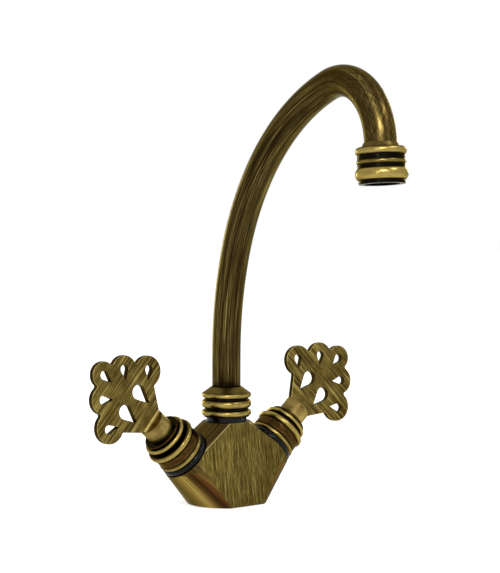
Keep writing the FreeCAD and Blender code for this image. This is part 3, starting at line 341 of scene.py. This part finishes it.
# %% [markdown]
# ## Handles: brushed across the plate
# The strokes run square to the valve, so they slant one way on the hot handle and
# the other way on the cold one. Each handle gets its own copy of the finish, set in
# its own frame. The narrow walls of the plate and of the teardrop holes were out of
# the brush's reach and stay dark, the edges are worn, and the round stem is satin.

# %% Finish of the handles
STEM_END = 86.5 * MM
PLATE_TONES = [(0.40, screen(40, 29, 11)), (0.47, screen(72, 59, 26)),
               (0.53, screen(106, 90, 42)), (0.61, screen(166, 148, 84))]
STEM_TONES = [(0.38, screen(92, 72, 34)), (0.58, screen(158, 138, 78))]
DARK_WALL = screen(40, 32, 15)
WORN_EDGE = screen(150, 134, 78)


def handle_finish(side):
    make = Finish("brushed_%s_handle" % side)
    point = make.place(HANDLE[side])
    z = make.split(point)[2]
    broad = make.noise(point, (7.0, 0.0, 330.0), 3.0, 0.55)
    fine = make.noise(point, (22.0, 0.0, 1650.0), 5.0, 0.66)
    mottle = make.noise(point, (110.0, 0.0, 110.0), 3.0, 0.5)
    plate = make.ramp(make.weighted((broad, 0.12), (fine, 0.76), (mottle, 0.12)), PLATE_TONES)
    facing = make.facing(HANDLE[side])
    on_plate = make.ranged(z, STEM_END, STEM_END + 1 * MM)
    wall = make.times(make.ranged(facing, 0.75, 0.25), on_plate)
    plate = make.blend(wall, plate, DARK_WALL)
    edge = make.times(make.ranged(facing, 0.995, 0.90), make.ranged(facing, 0.55, 0.80),
                      on_plate, 0.6)
    plate = make.blend(edge, plate, WORN_EDGE)
    stem = make.ramp(make.weighted((mottle, 0.6), (fine, 0.35)), STEM_TONES)
    past_stem = make.ranged(z, STEM_END - 0.5 * MM, STEM_END + 2.5 * MM)
    make.relief(fine, BRUSHED_RELIEF, BRUSHED_STRENGTH)
    return make.finish(make.blend(past_stem, stem, plate), fine, 0.28, 0.42)


for side in SIDE:
    nodes[side + "_handle"].material_slots[0].material = handle_finish(side)
print("handles finished")

# %% [markdown]
# ## Beaded rings: black in the grooves, polished on the crests
# The spout nut, the bonnets, the skirts and the outlet are turned on a lathe, then
# blackened and polished on a wheel that only reaches the crests. How much polish a
# point got depends on its distance from the axis, so the finish measures that
# distance in the ring's own frame and runs from soot to gold. A soft mottling
# keeps the polish from looking painted on. The nut's cone, the collar's flare and
# the skirts' necks are plain, so each names a stretch of its axis with one tone.

# %% Finish of the beaded rings
RING_TONES = [(0.20, SOOT), (0.44, UMBER), (0.68, OLIVE), (0.86, BRONZE), (1.0, GOLD)]
PLAIN_EDGE = 0.2 * MM


def beaded_finish(name, matrix, groove, crest, plain=None):
    """Black at the radius of the grooves, polished at that of the crests. Where
    plain gives low, high and a tone, that stretch of the axis has the tone."""
    make = Finish(name)
    point = make.place(matrix)
    flat = make.add("VectorMath", (point, (1.0, 1.0, 0.0)), operation="MULTIPLY").outputs[0]
    radius = make.add("VectorMath", (flat,), operation="LENGTH").outputs["Value"]
    mottle = make.noise(point, (210.0, 210.0, 420.0), 4.0, 0.6)
    fine = make.noise(point, (160.0, 160.0, 2600.0), 4.0, 0.6)
    polish = make.ranged(radius, groove, crest, smooth=False)
    colour = make.ramp(make.wobble(polish, mottle, 0.45), RING_TONES)
    if plain:
        low, high, tone = plain
        z = make.split(point)[2]
        inside = make.times(make.ranged(z, low - PLAIN_EDGE, low + PLAIN_EDGE),
                            make.ranged(z, high + PLAIN_EDGE, high - PLAIN_EDGE))
        clouds = make.ranged(mottle, 0.3, 0.7, 0.75, 1.25)
        colour = make.blend(inside, colour, make.blend(1.0, tone, clouds, "MULTIPLY"))
    make.relief(fine, 0.04 * MM, 0.3)
    return make.finish(colour, mottle, 0.22, 0.36)


NUT_CONE = (77.4 * MM, 90.0 * MM, SATIN)
COLLAR_FLARE = (0.0, 3.4 * MM, SATIN)
SKIRT_NECK = (67.0 * MM, 69.8 * MM, SOOT)
# frame, radius of the grooves and of the crests in millimetres, plain stretch
rings = {"spout_nut": (Matrix(), 15.4, 17.5, NUT_CONE),
         "outlet_collar": (OUTLET, 13.9, 15.5, COLLAR_FLARE),
         "aerator_housing": (OUTLET, 14.5, 15.2, None)}
for side in SIDE:
    rings[side + "_bonnet"] = (VALVE[side], 16.2, 17.9, None)
    rings[side + "_skirt"] = (VALVE[side], 12.8, 15.2, SKIRT_NECK)
for name, (matrix, groove, crest, plain) in rings.items():
    nodes[name].material_slots[0].material = beaded_finish(
        "polished_" + name, matrix, groove * MM, crest * MM, plain)
print(len(rings), "beaded rings finished")

# %% [markdown]
# ## Black rings
# The ring on each valve seat and the ring under the spout nut were never polished
# back. They are glossy black with a few grey rubs. They reflect little, so that the
# white room does not turn them grey.

# %% Finish of the black rings
BLACK_TONES = [(0.45, screen(7, 7, 8)), (0.75, screen(24, 23, 21))]
BLACK_SPECULAR = 0.12


def black_finish(name, matrix):
    make = Finish(name, metallic=0.0)
    make.surface.inputs["Specular IOR Level"].default_value = BLACK_SPECULAR
    rub = make.noise(make.place(matrix), (400.0, 400.0, 900.0), 4.0, 0.6)
    make.relief(rub, 0.03 * MM, 0.25)
    return make.finish(make.ramp(rub, BLACK_TONES), rub, 0.12, 0.24)


for name, matrix in (("neck_ring", Matrix()), ("hot_base_ring", VALVE["hot"]),
                     ("cold_base_ring", VALVE["cold"])):
    nodes[name].material_slots[0].material = black_finish("black_" + name, matrix)
print("black rings finished")

# %% [markdown]
# ## Spout tube: extruded, then spun round three bends
# The tube is one drawn pipe, bent ever more tightly towards the outlet. A spin
# makes exactly such a bend: it turns a ring of faces round a centre. So a flat ring
# of the pipe's own wall is extruded up the straight rise, spun round the three bend
# centres in turn and extruded again into the collar.

# %% Model the tube
TUBE_RADIUS, TUBE_WALL = 10.0 * MM, 1.2 * MM
TUBE_FOOT, BEND_START, TUBE_TAIL = 68.7 * MM, 103.5 * MM, 12.0 * MM
# radius, angle in degrees and steps of each bend, foot to outlet
BENDS = ((217.5 * MM, 19.7, 12), (170.5 * MM, 53.9, 28), (42.3 * MM, 102.4, 40))
ROUND = 96


def deselect():
    if bpy.context.object and bpy.context.object.mode != "OBJECT":
        bpy.ops.object.mode_set(mode="OBJECT")
    bpy.ops.object.select_all(action="DESELECT")


def extrude_ring(step):
    bpy.ops.mesh.extrude_region_move(TRANSFORM_OT_translate={"value": step})


deselect()
bpy.ops.mesh.primitive_circle_add(vertices=ROUND, radius=TUBE_RADIUS, fill_type="NGON",
                                  location=(0, 0, TUBE_FOOT))
tube = bpy.context.object
tube.name = "brushed_spout_tube"
bpy.ops.object.transform_apply(location=True, rotation=True, scale=True)
bpy.ops.object.mode_set(mode="EDIT")
bpy.ops.mesh.select_all(action="SELECT")
bpy.ops.mesh.inset(thickness=TUBE_WALL)
bpy.ops.mesh.delete(type="FACE")
bpy.ops.mesh.select_all(action="SELECT")
extrude_ring((0, 0, BEND_START - TUBE_FOOT))
heading = 0.0
reach, height = 0.0, BEND_START
for radius, angle, steps in BENDS:
    centre = (0, -reach - radius * math.cos(heading), height - radius * math.sin(heading))
    bpy.ops.mesh.spin(steps=steps, angle=math.radians(angle), center=centre, axis=(-1, 0, 0))
    after = heading + math.radians(angle)
    reach += radius * (math.cos(heading) - math.cos(after))
    height += radius * (math.sin(after) - math.sin(heading))
    heading = after
extrude_ring((0, -TUBE_TAIL * math.sin(heading), TUBE_TAIL * math.cos(heading)))
bpy.ops.mesh.select_all(action="SELECT")
bpy.ops.mesh.remove_doubles(threshold=1e-6)
bpy.ops.mesh.normals_make_consistent(inside=False)
bpy.ops.object.mode_set(mode="OBJECT")
print("tube ends at reach %.4f, height %.4f" % (reach, height), len(tube.data.polygons), "faces")

# %% [markdown]
# ### A place on the unbent pipe
# The strokes follow the pipe, so their pattern needs the coordinates of the pipe as
# it was before bending. Each point of the mesh lies on one ring of the spins. From
# that ring come its place across the pipe and its length from the foot, and both
# are kept in an attribute that the finish reads.


# %% Straighten the tube in an attribute
def bend_points():
    """Centre line of the tube: (reach, height, heading, length so far)."""
    points = [(0.0, TUBE_FOOT, 0.0, 0.0), (0.0, BEND_START, 0.0, BEND_START - TUBE_FOOT)]
    for radius, angle, steps in BENDS:
        reach, height, start, length = points[-1]
        for step in range(1, steps + 1):
            heading = start + math.radians(angle) * step / steps
            points.append((reach + radius * (math.cos(start) - math.cos(heading)),
                           height + radius * (math.sin(heading) - math.sin(start)),
                           heading, length + radius * (heading - start)))
    reach, height, heading, length = points[-1]
    points.append((reach + TUBE_TAIL * math.sin(heading), height + TUBE_TAIL * math.cos(heading),
                   heading, length + TUBE_TAIL))
    return points


OFF_RING = 0.02 * MM


def straighten(mesh):
    """Gives each point its place on the unbent pipe: X across, Y towards the
    inside of the arch, Z along the pipe from its foot, in metres."""
    route = bend_points()
    layer = mesh.attributes.new("straightened", "FLOAT_VECTOR", "POINT")
    for vertex in mesh.vertices:
        for ring_reach, ring_height, heading, length in route:
            reach, height = -vertex.co.y - ring_reach, vertex.co.z - ring_height
            away = reach * math.sin(heading) + height * math.cos(heading)
            side = reach * math.cos(heading) - height * math.sin(heading)
            if abs(away) < OFF_RING and abs(side) < TUBE_RADIUS * 1.01:
                layer.data[vertex.index].vector = (vertex.co.x, side, length)
                break
        else:
            raise ValueError("a point of the tube is on none of its rings")


straighten(tube.data)
tube.data.transform(SPOUT)
for polygon in tube.data.polygons:
    polygon.use_smooth = True
print("tube straightened,", len(tube.data.vertices), "points")

# %% [markdown]
# ### Strokes of the tube
# Long strokes run the length of the pipe. Near the outlet the polisher could only
# reach in at a slant, so two sets of short crossed strokes fade in over the last
# bend. Broad patches of darker patina lie along the pipe under the strokes, and
# the tube gets lighter towards the outlet.

# %% Finish of the tube
TUBE_TONES = [(0.40, screen(26, 18, 7)), (0.47, screen(48, 37, 16)),
              (0.53, screen(70, 58, 28)), (0.62, screen(124, 110, 62))]
CROSSED_ANGLES = (38.0, -30.0)


def crossed_strokes(make, x, side, along):
    """Two sets of slanting strokes on the pipe's skin, laid flat."""
    turned = make.math("MULTIPLY", make.math("ARCTAN2", x, side), TUBE_RADIUS)
    flat = make.add("CombineXYZ", (turned, along, 0.0)).outputs[0]
    sets = []
    for angle in CROSSED_ANGLES:
        turn = make.add("Mapping", (flat,), vector_type="POINT")
        turn.inputs["Rotation"].default_value = Euler((0, 0, math.radians(angle)))
        sets.append(make.noise(turn.outputs[0], (1500.0, 60.0, 1.0), 4.0, 0.65))
    return make.math("MULTIPLY", make.math("ADD", *sets), 0.5)


def tube_finish():
    make = Finish("brushed_tube_bronze")
    point = make.add("Attribute", attribute_name="straightened").outputs["Vector"]
    x, side, along = make.split(point)
    broad = make.noise(point, (210.0, 210.0, 5.0), 3.0, 0.55, shift=(3, 0, 0))
    fine = make.noise(point, (1500.0, 1500.0, 22.0), 5.0, 0.66)
    near_outlet = make.math("MULTIPLY", make.ranged(along, 0.24, 0.33), 0.8)
    stroke = make.between(near_outlet, fine, crossed_strokes(make, x, side, along))
    colour = make.ramp(make.weighted((broad, 0.30), (stroke, 0.70)), TUBE_TONES)
    brighter = make.ranged(along, 0.22, 0.36, 1.0, 1.5)
    colour = make.blend(1.0, colour, brighter, "MULTIPLY")
    make.relief(stroke, BRUSHED_RELIEF, BRUSHED_STRENGTH)
    return make.finish(colour, stroke, 0.26, 0.40)


tube.data.materials.clear()
tube.data.materials.append(tube_finish())
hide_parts("spout_tube")
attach(tube, "spout")
print("tube finished")

# %% [markdown]
# ## Pieces inside the tap
# The headworks, discs, seals and the aerator hardly show, but each has its own
# real material: machined brass, ground ceramic, rubber, red fibre, bright steel
# and moulded plastic. A fine grain is enough for them.

# %% Finishes of the inner pieces
# metallic, dark and light tone, roughness
INNER = {
    "brass": (1.0, screen(196, 164, 92), screen(222, 192, 120), 0.30),
    "white_ceramic": (0.0, screen(226, 224, 216), screen(240, 238, 232), 0.18),
    "black_rubber": (0.0, screen(26, 26, 27), screen(44, 44, 44), 0.62),
    "red_fibre": (0.0, screen(112, 40, 28), screen(146, 62, 42), 0.78),
    "stainless": (1.0, screen(176, 176, 172), screen(206, 206, 202), 0.28),
    "grey_plastic": (0.0, screen(128, 128, 124), screen(150, 150, 146), 0.45),
}


def inner_finish(slot):
    metallic, dark, light, rough = INNER[slot]
    make = Finish("inner_" + slot, metallic=metallic)
    grain = make.noise(make.place(), (900.0, 900.0, 900.0), 4.0, 0.6)
    colour = make.ramp(grain, [(0.35, dark), (0.65, light)])
    make.relief(grain, 0.03 * MM, 0.3)
    return make.finish(colour, grain, rough - 0.05, rough + 0.08)


for slot in INNER:
    finish = inner_finish(slot)
    for subpart in frame["record"]["subparts"]:
        if subpart["material_slot"] == slot:
            nodes[subpart["node"]].material_slots[0].material = finish
print("inner pieces finished")

# %% [markdown]
# ## Camera
# The photograph was taken from the hot side, a little above the handles, with a
# long lens. The camera stands where a fit to the outlines of the tube, the plates
# and their holes, the rings and the foot put it.

# %% Place the camera
CAMERA_PLACE = (-0.68351, -0.88435, 0.19988)
CAMERA_LOOK = Vector((0.62258, 0.78134, -0.0435))
CAMERA_LENS = 100.5

camera = bpy.data.objects.new("camera", bpy.data.cameras.new("camera"))
bpy.context.scene.collection.objects.link(camera)
camera.location = CAMERA_PLACE
camera.rotation_mode = "QUATERNION"
camera.rotation_quaternion = CAMERA_LOOK.to_track_quat("-Z", "Y")
camera.data.sensor_width = 36.0
camera.data.lens = CAMERA_LENS
camera.data.clip_start = 0.01
bpy.context.scene.camera = camera
print("camera placed")

# %% [markdown]
# ## Lamps
# Polished metal shows the room more than it shows itself. The streaks on the tube
# tell where the lamps stood: a strong soft lamp near the camera and above it, with
# a small one low on its left, a weaker one high on the right, and two tall narrow
# ones behind that draw the far edges.

# %% Lamps
MIDDLE = Vector((0.0, -0.05, 0.12))
TO_CAMERA = Vector((-0.623, -0.782, 0.0))
TO_RIGHT = Vector((0.782, -0.623, 0.0))
LAMP_AWAY = 1.25
# turn and lift in degrees, width and height in metres, power in watts
LAMPS = {
    "key": (6, 30, 0.38, 0.22, 6.0),
    "key_low": (-16, 14, 0.16, 0.16, 1.2),
    "high_right": (60, 46, 0.30, 0.20, 3.0),
    "edge": (150, 16, 0.12, 0.40, 3.0),
    "far_left": (-145, 4, 0.16, 0.40, 3.0),
}


def soft_lamp(name, turn, lift, wide, tall, power):
    """A lamp that shines at the middle of the tap. Its turn counts from the
    camera to the camera's right, and its lift from the level."""
    lamp = bpy.data.objects.new(name, bpy.data.lights.new(name, "AREA"))
    bpy.context.scene.collection.objects.link(lamp)
    lamp.data.shape = "RECTANGLE"
    lamp.data.size, lamp.data.size_y = wide, tall
    lamp.data.energy = power
    turn, lift = math.radians(turn), math.radians(lift)
    level = TO_CAMERA * math.cos(turn) + TO_RIGHT * math.sin(turn)
    away = level * math.cos(lift) + Vector((0, 0, math.sin(lift)))
    lamp.location = MIDDLE + away * LAMP_AWAY
    lamp.rotation_mode = "QUATERNION"
    lamp.rotation_quaternion = (-away).to_track_quat("-Z", "Y")


for name, settings in LAMPS.items():
    soft_lamp(name, *settings)
print(len(LAMPS), "lamps")

# %% [markdown]
# ## Floor and room
# The floor and the room are plain white for the camera and for mirror rays, so each
# tone of the metal looks about as it is written. The light that they shed on the
# tap is weaker than that, and the floor keeps the tap's shadow.

# %% Floor and room
WHITE = (1.0, 1.0, 1.0, 1.0)
PAPER = (0.86, 0.86, 0.85, 1.0)
PAPER_GLOW = 0.60
ROOM_LIGHT = 0.48
FLOOR_SIZE, FLOOR_DROP = 12.0, 0.4 * MM


def white_rays(tree, level):
    """The level of white that camera, mirror and glass rays see."""
    path = tree.nodes.new("ShaderNodeLightPath")
    total = path.outputs["Is Camera Ray"]
    for ray in ("Is Glossy Ray", "Is Transmission Ray"):
        both = tree.nodes.new("ShaderNodeMath")
        both.operation = "MAXIMUM"
        tree.links.new(total, both.inputs[0])
        tree.links.new(path.outputs[ray], both.inputs[1])
        total = both.outputs[0]
    scaled = tree.nodes.new("ShaderNodeMath")
    scaled.operation = "MULTIPLY"
    scaled.inputs[1].default_value = level
    tree.links.new(total, scaled.inputs[0])
    return scaled.outputs[0]


deselect()
bpy.ops.mesh.primitive_plane_add(size=FLOOR_SIZE, location=(0, 0, -FLOOR_DROP))
floor = bpy.context.object
floor.name = "floor"
paper = bpy.data.materials.new("white_paper")
paper.use_nodes = True
tree = paper.node_tree
sheet = tree.nodes["Principled BSDF"]
sheet.inputs["Base Color"].default_value = PAPER
sheet.inputs["Roughness"].default_value = 0.9
sheet.inputs["Emission Color"].default_value = WHITE
tree.links.new(white_rays(tree, PAPER_GLOW), sheet.inputs["Emission Strength"])
floor.data.materials.append(paper)

world = bpy.data.worlds.new("room")
bpy.context.scene.world = world
world.use_nodes = True
tree = world.node_tree
back = tree.nodes["Background"]
back.inputs["Color"].default_value = WHITE
level = tree.nodes.new("ShaderNodeMath")
level.operation = "ADD"
level.inputs[1].default_value = ROOM_LIGHT
tree.links.new(white_rays(tree, 1.0 - ROOM_LIGHT), level.inputs[0])
tree.links.new(level.outputs[0], back.inputs["Strength"])
bpy.context.scene.view_settings.view_transform = "Standard"
print("floor and room ready")
